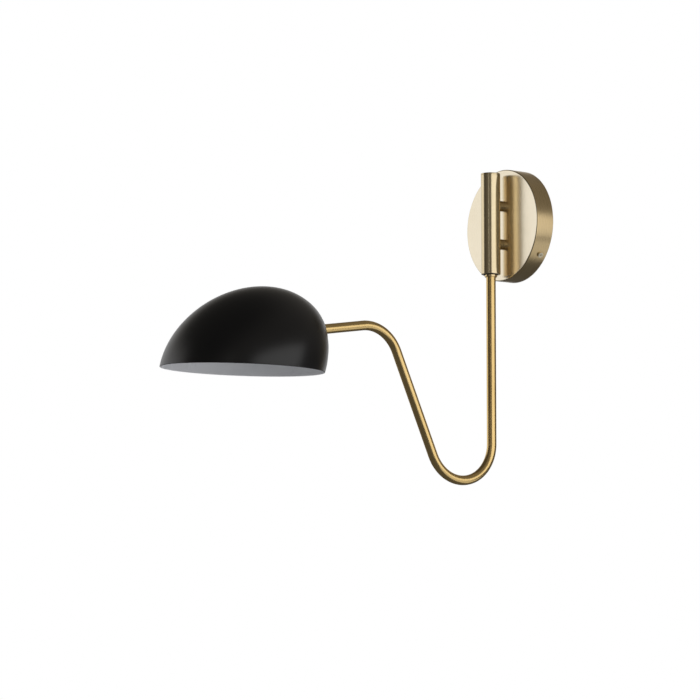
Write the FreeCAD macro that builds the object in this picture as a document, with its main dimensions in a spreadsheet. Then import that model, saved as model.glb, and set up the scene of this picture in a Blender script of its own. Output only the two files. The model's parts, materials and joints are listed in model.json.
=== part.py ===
import FreeCAD, Part
import math
import os

import Sketcher
from FreeCAD import Vector

# A swing-arm wall light, in millimetres. A round plate on the wall holds an upright barrel, a bent
# tube turns in the barrel, and a dome shade turns on the tube's end. The wall is the plane y = 0,
# the light stands out from it along -y, and z points up. The origin is the centre of the wall
# plate's back.
SIZES = {
    # wall plate, a hollow cup
    "plate_radius": 55.0,
    "plate_depth": 20.0,
    "plate_wall": 1.2,
    "plate_face": 1.5,
    "plate_edge": 1.0,          # radius of the rounded front edge
    # mounting disc behind it, with bent ears that the cup is screwed to
    "disc_margin": 8.0,         # from the disc's edge to the cup's inner wall
    "disc_thickness": 1.5,
    "ear_width": 14.0,
    "ear_length": 12.0,
    "ear_thickness": 1.5,
    "ear_gap": 0.2,             # between the ears and the cup
    "slot_spacing": 60.0,
    "slot_width": 5.0,
    "slot_length": 14.0,
    "inlet_radius": 8.0,        # hole for the house wiring
    "grommet_bore": 5.0,        # radius
    "grommet_lip": 2.0,
    "grommet_height": 1.5,
    # socket screws through the cup's rim
    "rim_screw_angle": 37.0,    # of the first one, below the horizontal
    "rim_screw_depth": 8.0,     # from the wall
    "rim_screw_radius": 1.5,
    "rim_head_radius": 2.75,
    "rim_head_height": 1.6,
    "rim_socket": 1.15,         # radius of the hexagon's corners
    # standoffs between cup and barrel
    "standoff_spacing": 38.0,
    "standoff_radius": 5.1,
    "nipple_radius": 4.0,
    "nipple_wall": 0.9,
    "nipple_proud": 0.6,        # behind its nut
    "nipple_nut_width": 13.0,
    "nipple_nut_height": 2.5,
    "nipple_washer_radius": 8.0,
    "nipple_washer_height": 1.0,
    "standoff_screw_radius": 2.0,
    "standoff_head_radius": 3.5,
    "standoff_head_height": 2.6,
    "standoff_washer_radius": 4.5,
    "standoff_washer_height": 0.8,
    "cross_width": 1.0,         # of the recess in cross and slotted screw heads
    "screw_clearance": 0.1,
    # barrel and its cap
    "barrel_axis": 34.0,        # from the wall
    "barrel_radius": 9.5,
    "barrel_bore": 6.5,         # radius
    "barrel_length": 100.0,
    "barrel_bevel": 0.5,
    "cap_height": 1.5,
    "cap_plug": 5.0,
    # bearings, and what holds the tube in them
    "running_gap": 0.05,
    "lower_bush_length": 12.0,
    "bush_lip_radius": 7.0,
    "bush_lip": 0.5,
    "upper_bush_length": 12.0,
    "upper_bush_top": 4.0,      # below the plate's centre
    "collar_radius": 6.1,
    "collar_height": 2.0,
    "swing_washer_radius": 6.3,
    "swing_washer_height": 0.6,
    "ring_nut_radius": 6.2,
    "ring_nut_height": 4.0,
    "ring_nut_slot": 1.5,
    "tube_proud": 0.7,          # of the tube's ends, beyond the last nut
    "swing_limit": 75.0,
    "swing_pin_radius": 0.9,
    "swing_pin_reach": 6.2,     # from the barrel's axis
    # bent tube
    "tube_radius": 4.75,
    "tube_wall": 1.2,
    "arm_drop": 254.3,          # from the plate's centre to the lowest point of the tube's line
    "bend_radius": 38.0,
    "arm_climb": 65.7,          # slope of the long straight, above the horizontal
    "arm_run": 106.4,           # its length
    "arm_slope": 9.0,           # of the end, below the horizontal
    # stack that holds the shade on the tube's end, measured along the end
    "clamp_gap": 3.8,           # from the dome's inside to the first nut
    "nut_width": 14.0,
    "nut_height": 3.0,
    "shade_washer_radius": 8.0,
    "wave_washer_height": 0.6,
    "flat_washer_height": 1.0,
    "shade_limit": 60.0,
    "shade_pin_radius": 0.8,
    "shade_pin_reach": 6.8,
    # dome, a leaning ellipsoid cut off level
    "dome_length": 86.5,        # half-axis that leans
    "dome_height": 64.7,        # half-axis across it
    "dome_width": 78.6,         # half-axis from side to side
    "dome_lean": 37.3,
    "dome_reach": 138.1,        # from the start of the tube's end to the dome's centre
    "dome_fall": 46.5,
    "rim_fall": 6.4,            # from the dome's centre to its rim
    "dome_wall": 1.0,
    "dome_roll": 3.4,           # how far it is turned on the tube's end
    "dome_hole_gap": 0.15,
    "strap_width": 20.0,
    "strap_thickness": 2.0,
    "strap_below": 9.0,         # below the tube's line
    "strap_foot": 14.0,         # length of the foot on the dome's inside
    "strap_foot_thickness": 1.6,
    # lamp
    "holder_plate": 1.5,
    "holder_plate_width": 14.0,
    "holder_plate_below": 8.0,
    "holder_gap": 2.5,          # between the tube's end and the holder
    "holder_radius": 8.0,
    "holder_length": 16.0,
    "holder_recess": 4.0,
    "holder_recess_radius": 7.0,
    "holder_screw_radius": 1.5,
    "holder_screw_length": 4.0,
    "holder_head_radius": 2.6,
    "holder_head_height": 1.5,
    "lamp_pin_spacing": 9.0,
    "lamp_pin_radius": 0.6,
    "lamp_pin_length": 6.0,
    "lamp_pin_gap": 0.3,
    "lamp_base_radius": 6.8,
    "lamp_base_length": 10.0,
    "bulb_radius": 7.2,
    "bulb_length": 31.0,
    "bulb_wall": 0.8,
    "core_radius": 4.0,
    "core_length": 22.0,
    # wiring
    "lead_radius": 1.3,
    "lead_spacing": 2.8,
    "lead_bend": 6.5,
    "lead_tight_bend": 4.8,
    "lead_meeting": 4.0,        # above the plate's centre, where the barrel's leads meet the tube's
    "block_x": 19.0,
    "block_fall": 21.0,
    "block_length": 28.0,
    "block_height": 16.0,
    "block_depth": 12.0,
    "block_pole": 9.3,          # pitch
    "block_wire_depth": 5.0,    # of the wire holes, from the block's back
    "block_wire_radius": 1.5,
    "block_screw_radius": 1.9,
    "block_screw_depth": 4.5,
    "block_screw_offset": 4.5,
    "block_fixing_radius": 1.5,
    "ground_x": 20.0,
    "ground_fall": 22.0,
    "ground_head_radius": 4.0,
    "ground_head_height": 2.5,
    "ground_screw_radius": 2.0,
    "ground_lug_radius": 4.5,
    "ground_lug_height": 1.0,
}

doc = FreeCAD.newDocument("SwingArmWallLight")
sheet = doc.addObject("Spreadsheet::Sheet", "sizes")


class Size:
    """A size as a number, with the cell expression that gives the same number."""

    def __init__(self, text, number):
        self.text = text
        self.number = number

    def __add__(self, other):
        other = sized(other)
        return Size(f"({self.text} + {other.text})", self.number + other.number)

    def __sub__(self, other):
        other = sized(other)
        return Size(f"({self.text} - {other.text})", self.number - other.number)

    def __mul__(self, other):
        other = sized(other)
        return Size(f"({self.text} * {other.text})", self.number * other.number)

    def __truediv__(self, other):
        other = sized(other)
        return Size(f"({self.text} / {other.text})", self.number / other.number)

    def __neg__(self):
        return Size(f"(-{self.text})", -self.number)


class Cells:
    """The sheet's cells, each a Size under its own name."""


def sized(value):
    return value if isinstance(value, Size) else Size(str(float(value)), float(value))


def sine(angle):
    return Size(f"sin({angle.text})", math.sin(math.radians(angle.number)))


def cosine(angle):
    return Size(f"cos({angle.text})", math.cos(math.radians(angle.number)))


def root(square):
    return Size(f"sqrt({square.text})", math.sqrt(square.number))


def arcsine(ratio):
    return Size(f"(asin({ratio.text}) / 1 deg)", math.degrees(math.asin(ratio.number)))


s = Cells()
for row, (alias, number) in enumerate(SIZES.items(), start=1):
    sheet.set(f"A{row}", str(number))
    sheet.setAlias(f"A{row}", alias)
    setattr(s, alias, Size(f"sizes.{alias}", number))
doc.recompute()

ZERO = sized(0)
pieces = {}


# Placements. A turn is the text of a rotation, so that it can be joined to another with " * ".

def turn_about(axis, angle):
    return f"rotation(vector({axis}); {sized(angle).text})"


SIDEWAYS_AXIS = "1; 0; 0"
OUTWARD_AXIS = "0; 1; 0"
UPWARD_AXIS = "0; 0; 1"
UPRIGHT = turn_about(UPWARD_AXIS, 0)
OUTWARD = turn_about(SIDEWAYS_AXIS, 90)     # a piece's own z points away from the wall
FACING = turn_about(UPWARD_AXIS, 180)       # a piece's own y points away from the wall
ALONG_END = turn_about(SIDEWAYS_AXIS, s.arm_slope)
DOWN_END = ALONG_END + " * " + OUTWARD      # a piece's own z points along the tube's end


def place(thing, x=ZERO, y=ZERO, z=ZERO, turn=UPRIGHT):
    where = "; ".join(sized(value).text for value in (x, y, z))
    thing.setExpression("Placement", f"placement(vector({where}); {turn})")
    return thing


def bind(thing, **values):
    for name, value in values.items():
        thing.setExpression(name, sized(value).text)
    return thing


def piece(name, thing):
    """Files a finished solid under its node's name."""
    thing.Label = name
    pieces[name] = thing
    return thing


# Solids

def cylinder(name, radius, height, angle=360, **where):
    solid = bind(doc.addObject("Part::Cylinder", name), Radius=radius, Height=height, Angle=angle)
    return place(solid, **where)


def box(name, length, width, height, **where):
    solid = bind(doc.addObject("Part::Box", name), Length=length, Width=width, Height=height)
    return place(solid, **where)


def hexagon(name, across_flats, height, **where):
    solid = doc.addObject("Part::Prism", name)
    solid.Polygon = 6
    bind(solid, Circumradius=across_flats / 2 / cosine(sized(30)), Height=height)
    return place(solid, **where)


def cut(name, base, *tools):
    result = doc.addObject("Part::Cut", name)
    result.Base = base
    result.Tool = tools[0] if len(tools) == 1 else fuse(name + "_tools", *tools)
    return result


def fuse(name, *parts):
    result = doc.addObject("Part::MultiFuse", name)
    result.Shapes = list(parts)
    return result


def common(name, *parts):
    result = doc.addObject("Part::MultiCommon", name)
    result.Shapes = list(parts)
    return result


def plane_of(body, role):
    return next(plane for plane in body.Origin.OriginFeatures if plane.Role == role)


def sketch_on(body, name, role):
    sketch = body.newObject("Sketcher::SketchObject", name)
    sketch.AttachmentSupport = [(plane_of(body, role), "")]
    sketch.MapMode = "FlatFace"
    return sketch


def dimension(sketch, name, value, kind, *places):
    """A sketch dimension that follows a size. Places are geometry and vertex numbers."""
    number = math.radians(value.number) if kind == "Angle" else value.number
    index = sketch.addConstraint(Sketcher.Constraint(kind, *places, number))
    sketch.renameConstraint(index, name)
    sketch.setExpression("Constraints." + name, value.text)


def turned(name, profile, rounded=None, **where):
    """A body of revolution about its own z. The profile lists radius and height of each corner."""
    body = doc.addObject("PartDesign::Body", name)
    sketch = sketch_on(body, name + "_profile", "XZ_Plane")
    corners = [(sized(radius), sized(height)) for radius, height in profile]
    following = corners[1:] + corners[:1]
    for (x1, y1), (x2, y2) in zip(corners, following):
        line = Part.LineSegment(Vector(x1.number, y1.number, 0), Vector(x2.number, y2.number, 0))
        sketch.addGeometry(line, False)
    for index in range(len(corners)):
        sketch.addConstraint(Sketcher.Constraint("Coincident", index, 2, (index + 1) % len(corners), 1))
    for index, (radius, height) in enumerate(corners):
        for kind, value, axis in (("DistanceX", radius, -2), ("DistanceY", height, -1)):
            if abs(value.number) < 1e-9:
                sketch.addConstraint(Sketcher.Constraint("PointOnObject", index, 1, axis))
            else:
                dimension(sketch, f"{kind.lower()}_{index}", value, kind, -1, 1, index, 1)
    turn = body.newObject("PartDesign::Revolution", name + "_turn")
    turn.Profile = sketch
    turn.ReferenceAxis = (sketch, ["V_Axis"])
    turn.Angle = 360
    if rounded:
        radius, height, bend = rounded
        doc.recompute()
        edges = [f"Edge{number}" for number, edge in enumerate(turn.Shape.Edges, start=1)
                 if isinstance(edge.Curve, Part.Circle)
                 and abs(edge.Curve.Radius - radius.number) < 1e-6
                 and abs(edge.Curve.Center.z - height.number) < 1e-6]
        fillet = body.newObject("PartDesign::Fillet", name + "_rounding")
        fillet.Base = (turn, edges)
        bind(fillet, Radius=bend)
        body.Tip = fillet
    return place(body, **where)


def ring(name, outer, inner, height, **where):
    return turned(name, [(inner, 0), (outer, 0), (outer, height), (inner, height)], **where)


def sector(name, radius, height, half_angle, middle, **where):
    """A pie slice about z, half_angle each side of the direction given by middle."""
    turn = where.pop("turn", UPRIGHT) + " * " + turn_about(UPWARD_AXIS, sized(middle) - half_angle)
    return cylinder(name, radius, height, angle=half_angle * 2, turn=turn, **where)


def headed_screw(name, shank_radius, shank_length, head_radius, head_height, **where):
    """A screw with its head's top at height 0 and its shank pointing along z."""
    return turned(name, [(0, 0), (head_radius, 0), (head_radius, head_height),
                         (shank_radius, head_height), (shank_radius, head_height + shank_length),
                         (0, head_height + shank_length)], **where)


def bent_lead(name, points, bend):
    """A round lead along straight runs joined by tangent arcs."""
    edges = []
    start = points[0]
    for before, corner, after in zip(points, points[1:], points[2:]):
        back = (before - corner).normalize()
        ahead = (after - corner).normalize()
        half_turn = (math.pi - back.getAngle(ahead)) / 2
        first = corner + back * (bend * math.tan(half_turn))
        last = corner + ahead * (bend * math.tan(half_turn))
        middle = corner + (back + ahead).normalize() * (bend / math.cos(half_turn) - bend)
        edges.append(Part.LineSegment(start, first).toShape())
        edges.append(Part.Arc(first, middle, last).toShape())
        start = last
    edges.append(Part.LineSegment(start, points[-1]).toShape())
    route = Part.Wire(edges)
    section = Part.Circle(points[0], points[1] - points[0], s.lead_radius.number)
    solid = route.makePipeShell([Part.Wire(section.toShape())], True, False)
    drawn = math.pi * s.lead_radius.number ** 2 * route.Length
    print(f"{name}: bends {bend:.1f} mm, volume {solid.Volume:.1f}, section by length {drawn:.1f}")
    return solid


# Wall plate and mounting disc. Heights here are depths from the wall.

def wall_plate():
    inner = s.plate_radius - s.plate_wall
    cup = turned("cup", [(inner, 0), (s.plate_radius, 0), (s.plate_radius, s.plate_depth),
                         (0, s.plate_depth), (0, s.plate_depth - s.plate_face),
                         (inner, s.plate_depth - s.plate_face)],
                 rounded=(s.plate_radius, s.plate_depth, s.plate_edge), turn=OUTWARD)
    holes = [outward_hole("cup_lead_hole", s.nipple_radius + s.screw_clearance, s.standoff_spacing / 2),
             outward_hole("cup_screw_hole", s.standoff_screw_radius + s.screw_clearance,
                          -(s.standoff_spacing / 2))]
    holes += [rim_bore(f"cup_rim_hole_{index}", index, s.rim_screw_radius + s.screw_clearance)
              for index in range(RIM_SCREWS)]
    piece("wall_plate", cut("wall_plate", cup, *holes))


RIM_SCREWS = 2


def outward_hole(name, radius, height):
    return cylinder(name, radius, s.plate_depth * 2, z=height, turn=OUTWARD)


def rim_turn(index):
    """Turns a piece's z to point from the plate's axis to a rim screw."""
    return turn_about(OUTWARD_AXIS, s.rim_screw_angle + (90 - 360 / RIM_SCREWS * index))


def rim_bore(name, index, radius):
    return cylinder(name, radius, s.plate_radius * 2, y=-s.rim_screw_depth, turn=rim_turn(index))


def mounting_plate():
    inside = s.plate_radius - s.plate_wall
    reach = inside - s.ear_gap
    disc = cylinder("disc", inside - s.disc_margin, s.disc_thickness, turn=OUTWARD)
    ear_ring = ring("ear_ring", reach, reach - s.ear_thickness, s.ear_length, turn=OUTWARD)
    web_ring = cylinder("web_ring", reach, s.disc_thickness, turn=OUTWARD)
    ear_stock = fuse("ear_stock", ear_ring, web_ring)
    bars = [box(f"ear_bar_{index}", s.ear_width, s.ear_length, s.plate_radius,
                **ear_corner(index)) for index in range(RIM_SCREWS)]
    ears = common("ears", ear_stock, fuse("ear_bars", *bars))
    blank = fuse("mounting_blank", disc, ears)
    tools = [cylinder("inlet", s.inlet_radius, s.plate_depth, turn=OUTWARD),
             cylinder("ground_thread", s.ground_screw_radius, s.plate_depth,
                      x=-s.ground_x, z=-s.ground_fall, turn=OUTWARD),
             cylinder("block_thread", s.block_fixing_radius, s.plate_depth,
                      x=s.block_x, z=-s.block_fall, turn=OUTWARD)]
    for side, sign in (("left", -1), ("right", 1)):
        tools += slot("slot_" + side, s.slot_spacing / 2 * sign)
    tools += [rim_bore(f"ear_thread_{index}", index, s.rim_screw_radius)
              for index in range(RIM_SCREWS)]
    piece("mounting_plate", cut("mounting_plate", blank, *tools))


def ear_corner(index):
    """Places a bar with its width centred on the line from the plate's axis to a rim screw."""
    angle = s.rim_screw_angle + (90 - 360 / RIM_SCREWS * index)
    half = s.ear_width / 2
    return {"x": -(cosine(angle) * half), "y": -s.ear_length, "z": sine(angle) * half,
            "turn": rim_turn(index)}


def slot(name, x):
    straight = s.slot_length - s.slot_width
    half = straight / 2
    ends = [cylinder(f"{name}_end_{index}", s.slot_width / 2, s.plate_depth,
                     x=x + half * sign, turn=OUTWARD) for index, sign in enumerate((-1, 1))]
    middle = box(name + "_middle", straight, s.plate_depth, s.slot_width,
                 x=x - half, y=-s.plate_depth, z=-(s.slot_width / 2))
    return ends + [middle]


def rim_screws():
    """Heads sit on the cup's outside, shanks end just inside the ears."""
    shank = s.plate_wall + s.ear_gap + s.ear_thickness + s.plate_edge
    screws = []
    for index in range(RIM_SCREWS):
        angle = s.rim_screw_angle + (90 - 360 / RIM_SCREWS * index)
        top = s.plate_radius + s.rim_head_height
        where = {"x": sine(angle) * top, "y": -s.rim_screw_depth, "z": cosine(angle) * top,
                 "turn": rim_turn(index) + " * " + turn_about(SIDEWAYS_AXIS, 180)}
        screw = headed_screw(f"rim_screw_{index}", s.rim_screw_radius, shank,
                             s.rim_head_radius, s.rim_head_height, **where)
        socket = doc.addObject("Part::Prism", f"rim_socket_{index}")
        socket.Polygon = 6
        bind(socket, Circumradius=s.rim_socket, Height=s.rim_head_height * 0.7)
        place(socket, **where)
        screws.append(cut(f"rim_screw_cut_{index}", screw, socket))
    piece("plate_side_screws", fuse("plate_side_screws", *screws))


def grommet():
    outer = s.inlet_radius
    lip = s.disc_thickness + s.grommet_height
    piece("lead_grommet", turned("lead_grommet", [
        (s.grommet_bore, 0), (outer, 0), (outer, s.disc_thickness),
        (outer + s.grommet_lip, s.disc_thickness), (outer + s.grommet_lip, lip),
        (s.grommet_bore, lip)], turn=OUTWARD))


# Standoffs, and the hollow nipple and the screw that pull the barrel against them

def standoffs():
    gap = s.barrel_axis - s.plate_depth
    barrel_space = cylinder("barrel_space", s.barrel_radius, s.barrel_length, y=-s.barrel_axis,
                            z=-(s.barrel_length / 2))
    for name, height, bore in (
            ("upper_standoff", s.standoff_spacing / 2, s.nipple_radius),
            ("lower_standoff", -(s.standoff_spacing / 2), s.standoff_screw_radius)):
        spacer = ring(name + "_tube", s.standoff_radius, bore + s.screw_clearance, gap,
                      y=-s.plate_depth, z=height, turn=OUTWARD)
        piece(name, cut(name, spacer, barrel_space))


def nipple_set():
    height = s.standoff_spacing / 2
    inside = s.plate_depth - s.plate_face
    washer = inside - s.nipple_washer_height
    nut = washer - s.nipple_nut_height
    start = nut - s.nipple_proud
    length = s.barrel_axis - s.barrel_bore - s.screw_clearance - start
    inner = s.nipple_radius - s.nipple_wall
    piece("lead_nipple", ring("lead_nipple", s.nipple_radius, inner, length,
                              y=-start, z=height, turn=OUTWARD))
    piece("nipple_washer", ring("nipple_washer", s.nipple_washer_radius, s.nipple_radius,
                                s.nipple_washer_height, y=-washer, z=height, turn=OUTWARD))
    blank = hexagon("nipple_nut_blank", s.nipple_nut_width, s.nipple_nut_height,
                    y=-nut, z=height, turn=OUTWARD)
    thread = cylinder("nipple_nut_thread", s.nipple_radius, s.plate_depth, y=ZERO, z=height,
                      turn=OUTWARD)
    piece("nipple_nut", cut("nipple_nut", blank, thread))


def standoff_screw():
    height = -(s.standoff_spacing / 2)
    inside = s.plate_depth - s.plate_face
    washer = inside - s.standoff_washer_height
    head = washer - s.standoff_head_height
    shank = s.barrel_axis - s.barrel_bore - s.screw_clearance - washer
    screw = headed_screw("standoff_screw_blank", s.standoff_screw_radius, shank,
                         s.standoff_head_radius, s.standoff_head_height,
                         y=-head, z=height, turn=OUTWARD)
    depth = s.standoff_head_height / 2
    arm = s.standoff_head_radius * 1.2
    cross = [box(f"standoff_cross_{index}", length, depth, width,
                 x=-(length / 2), y=-(head + depth), z=height - width / 2)
             for index, (length, width) in enumerate(((arm, s.cross_width), (s.cross_width, arm)))]
    piece("standoff_screw", cut("standoff_screw", screw, *cross))
    piece("standoff_screw_washer", ring(
        "standoff_screw_washer", s.standoff_washer_radius, s.standoff_screw_radius,
        s.standoff_washer_height, y=-washer, z=height, turn=OUTWARD))


# Barrel and bearings, all on the swing axis

def on_swing_axis(height):
    return {"y": -s.barrel_axis, "z": height}


def barrel():
    half = s.barrel_length / 2
    height = s.barrel_length - s.cap_height
    edge = s.barrel_radius - s.barrel_bevel
    tube = turned("barrel_tube", [
        (s.barrel_bore, 0), (edge, 0), (s.barrel_radius, s.barrel_bevel),
        (s.barrel_radius, height), (s.barrel_bore, height)], **on_swing_axis(-half))
    holes = [cylinder("barrel_lead_hole", s.nipple_radius, s.barrel_axis,
                      z=s.standoff_spacing / 2, turn=OUTWARD),
             cylinder("barrel_screw_hole", s.standoff_screw_radius, s.barrel_axis,
                      z=-(s.standoff_spacing / 2), turn=OUTWARD)]
    piece("barrel", cut("barrel", tube, *holes))
    plug = s.cap_plug
    piece("barrel_cap", turned("barrel_cap", [
        (0, 0), (s.barrel_bore, 0), (s.barrel_bore, plug), (s.barrel_radius, plug),
        (s.barrel_radius, plug + s.cap_height - s.barrel_bevel), (edge, plug + s.cap_height),
        (0, plug + s.cap_height)], **on_swing_axis(half - s.cap_height - plug)))


def bushes():
    bore = s.tube_radius + s.running_gap
    half = s.barrel_length / 2
    length = s.lower_bush_length
    piece("lower_bush", turned("lower_bush", [
        (bore, 0), (s.bush_lip_radius, 0), (s.bush_lip_radius, s.bush_lip),
        (s.barrel_bore, s.bush_lip), (s.barrel_bore, s.bush_lip + length),
        (bore, s.bush_lip + length)], **on_swing_axis(-(half + s.bush_lip))))
    bottom = -(s.upper_bush_top + s.upper_bush_length)
    sleeve = ring("upper_sleeve", s.barrel_bore, bore, s.upper_bush_length, **on_swing_axis(bottom))
    window = s.swing_pin_radius * 3 + s.running_gap
    half_pin = arcsine(s.swing_pin_radius / bore)
    slice_ = sector("swing_window", s.barrel_radius, window, s.swing_limit + half_pin, -90,
                    **on_swing_axis(-(s.upper_bush_top + window)))
    piece("upper_bush", cut("upper_bush", sleeve, slice_))


def arm_hardware():
    half = s.barrel_length / 2
    collar_top = half + s.bush_lip + s.running_gap
    piece("arm_collar", turned("arm_collar", [
        (s.tube_radius, 0), (s.collar_radius - s.running_gap * 4, 0),
        (s.collar_radius, s.running_gap * 4), (s.collar_radius, s.collar_height),
        (s.tube_radius, s.collar_height)], **on_swing_axis(-(collar_top + s.collar_height))))
    washer = s.running_gap - s.upper_bush_top
    piece("swing_wave_washer", ring("swing_wave_washer", s.swing_washer_radius, s.tube_radius,
                                    s.swing_washer_height, **on_swing_axis(washer)))
    nut = washer + s.swing_washer_height
    blank = ring("ring_nut_blank", s.ring_nut_radius, s.tube_radius, s.ring_nut_height,
                 **on_swing_axis(nut))
    slot_bar = box("ring_nut_slots", s.ring_nut_slot, s.barrel_radius * 2, s.ring_nut_slot,
                   x=-(s.ring_nut_slot / 2), y=-(s.barrel_axis + s.barrel_radius),
                   z=nut + s.ring_nut_height - s.ring_nut_slot)
    keep = cylinder("ring_nut_keep", s.tube_radius, s.ring_nut_height * 2, **on_swing_axis(nut))
    piece("ring_nut", cut("ring_nut", blank, cut("ring_nut_slot_cut", slot_bar, keep)))
    pin_height = -(s.upper_bush_top + s.swing_pin_radius * 1.5)
    inner = s.tube_radius - s.tube_wall
    piece("swing_stop_pin", cylinder("swing_stop_pin", s.swing_pin_radius,
                                     s.swing_pin_reach - inner, y=-(s.barrel_axis + inner),
                                     z=pin_height, turn=OUTWARD))


def tube_top():
    """Height of the tube's upper end above the plate's centre."""
    return (s.running_gap - s.upper_bush_top + s.swing_washer_height + s.ring_nut_height
            + s.tube_proud)


# The arm's line: down, round a U-bend, up a long straight, over, and out to the shade

def end_reach():
    """From the swing axis to the start of the tube's end, away from the wall."""
    climb, bend = s.arm_climb, s.bend_radius
    return (bend + bend * sine(climb) + s.arm_run * cosine(climb) + bend * sine(climb)
            + bend * sine(s.arm_slope))


def end_rise():
    """From the plate's centre up to the start of the tube's end, a negative height."""
    climb, bend = s.arm_climb, s.bend_radius
    return (bend - s.arm_drop - bend * cosine(climb) + s.arm_run * sine(climb)
            - bend * cosine(climb) + bend * cosine(s.arm_slope))


def dome_entry():
    """Distance along the tube's end to where its line meets the dome's inside."""
    tilt = s.dome_lean - s.arm_slope
    length = s.dome_length - s.dome_wall
    height = s.dome_height - s.dome_wall
    along = (s.dome_reach * cosine(s.dome_lean) + s.dome_fall * sine(s.dome_lean)) / length
    across = (s.dome_fall * cosine(s.dome_lean) - s.dome_reach * sine(s.dome_lean)) / height
    step_along = cosine(tilt) / length
    step_across = sine(tilt) / height
    square = step_along * step_along + step_across * step_across
    middle = along * step_along - across * step_across
    rest = along * along + across * across - 1
    return (middle - root(middle * middle - square * rest)) / square


def stack():
    """Distances along the tube's end to each piece that is clamped there."""
    back_nut = dome_entry() + s.clamp_gap
    wave = back_nut + s.nut_height
    strap = wave + s.wave_washer_height + s.running_gap
    washer = strap + s.strap_thickness + s.running_gap
    front_nut = washer + s.flat_washer_height
    holder_plate = front_nut + s.nut_height
    end_nut = holder_plate + s.holder_plate
    tube_end = end_nut + s.nut_height + s.tube_proud
    return {"back_nut": back_nut, "wave": wave, "strap": strap, "washer": washer,
            "front_nut": front_nut, "holder_plate": holder_plate, "end_nut": end_nut,
            "tube_end": tube_end, "holder": tube_end + s.holder_gap}


def arm_line(body, name, top, tail):
    """The line in the body's own plane, with its lowest point at height 0."""
    sketch = sketch_on(body, name, "YZ_Plane")
    bend = s.bend_radius.number
    climb = math.radians(s.arm_climb.number)
    slope = math.radians(s.arm_slope.number)
    up = Vector(math.cos(climb), math.sin(climb), 0)
    down = Vector(math.cos(slope), -math.sin(slope), 0)
    low_centre = Vector(bend, bend, 0)
    climb_start = low_centre + Vector(math.sin(climb), -math.cos(climb), 0) * bend
    climb_end = climb_start + up * s.arm_run.number
    high_centre = climb_end + Vector(math.sin(climb), -math.cos(climb), 0) * bend
    tail_start = high_centre + Vector(math.sin(slope), math.cos(slope), 0) * bend
    flat = Vector(0, 0, 1)
    for line in (Part.LineSegment(Vector(0, top.number, 0), Vector(0, bend, 0)),
                 Part.ArcOfCircle(Part.Circle(low_centre, flat, bend), math.pi, 1.5 * math.pi + climb),
                 Part.LineSegment(climb_start, climb_end),
                 Part.ArcOfCircle(Part.Circle(high_centre, flat, bend),
                                  math.pi / 2 - slope, math.pi / 2 + climb),
                 Part.LineSegment(tail_start, tail_start + down * tail.number)):
        sketch.addGeometry(line, False)
    sketch.addConstraint(Sketcher.Constraint("Vertical", 0))
    sketch.addConstraint(Sketcher.Constraint("PointOnObject", 0, 1, -2))
    for joint in ((0, 2, 1, 1), (1, 2, 2, 1), (2, 2, 3, 2), (3, 1, 4, 1)):
        sketch.addConstraint(Sketcher.Constraint("Tangent", *joint))
    dimension(sketch, "top", top, "DistanceY", -1, 1, 0, 1)
    dimension(sketch, "low_bend", s.bend_radius, "Radius", 1)
    dimension(sketch, "low_centre", s.bend_radius, "DistanceY", -1, 1, 1, 3)
    dimension(sketch, "high_bend", s.bend_radius, "Radius", 3)
    dimension(sketch, "climb", s.arm_climb, "Angle", 2)
    dimension(sketch, "run", s.arm_run, "Distance", 2)
    dimension(sketch, "slope", -s.arm_slope, "Angle", 4)
    dimension(sketch, "tail", tail, "Distance", 4)
    return sketch


def drawn_along_arm(name, radii, top, tail, x=ZERO):
    """A tube or lead along the arm's line. Top is above the plate's centre."""
    body = doc.addObject("PartDesign::Body", name)
    height = top + s.arm_drop
    line = arm_line(body, name + "_line", height, tail)
    section = sketch_on(body, name + "_section", "XY_Plane")
    section.setExpression("AttachmentOffset.Base.z", height.text)
    for index, radius in enumerate(radii):
        section.addGeometry(Part.Circle(Vector(0, 0, 0), Vector(0, 0, 1), radius.number), False)
        section.addConstraint(Sketcher.Constraint("Coincident", index, 3, -1, 1))
        dimension(section, f"radius_{index}", radius, "Radius", index)
    pipe = body.newObject("PartDesign::AdditivePipe", name + "_pipe")
    pipe.Profile = section
    pipe.Spine = (line, [f"Edge{number}" for number in range(1, 6)])
    return place(body, x=x, y=-s.barrel_axis, z=-s.arm_drop, turn=FACING)


def arm():
    tail = stack()["tube_end"]
    inner = s.tube_radius - s.tube_wall
    tube = drawn_along_arm("arm_tube_blank", (s.tube_radius, inner), tube_top(), tail)
    swing_hole = cylinder("swing_pin_hole", s.swing_pin_radius, s.barrel_radius,
                          y=-s.barrel_axis, z=-(s.upper_bush_top + s.swing_pin_radius * 1.5),
                          turn=OUTWARD)
    middle = stack()["strap"] + s.strap_thickness / 2
    shade_hole = cylinder("shade_pin_hole", s.shade_pin_radius, s.barrel_radius,
                          **at_end(middle, turn=ALONG_END + " * " + turn_about(SIDEWAYS_AXIS, 180)))
    piece("arm_tube", cut("arm_tube", tube, swing_hole, shade_hole))
    leads = [drawn_along_arm("arm_lead_" + side, (s.lead_radius,), s.lead_meeting,
                             stack()["holder"], x=s.lead_spacing / 2 * sign)
             for side, sign in (("left", -1), ("right", 1))]
    piece("arm_leads", fuse("arm_leads", *leads))


# Pieces on the tube's end. Along is measured along the end, above is square to it and upward.

def at_end(along, above=ZERO, x=ZERO, turn=DOWN_END):
    level = level_end(along, above)
    return {"x": x, "y": level["y"] - s.barrel_axis - end_reach(), "z": level["z"] + end_rise(),
            "turn": turn}


def level_end(along, above=ZERO):
    """The same point measured from the start of the tube's end, on level axes."""
    along, above = sized(along), sized(above)
    return {"y": -(along * cosine(s.arm_slope) + above * sine(s.arm_slope)),
            "z": above * cosine(s.arm_slope) - along * sine(s.arm_slope)}


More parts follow.
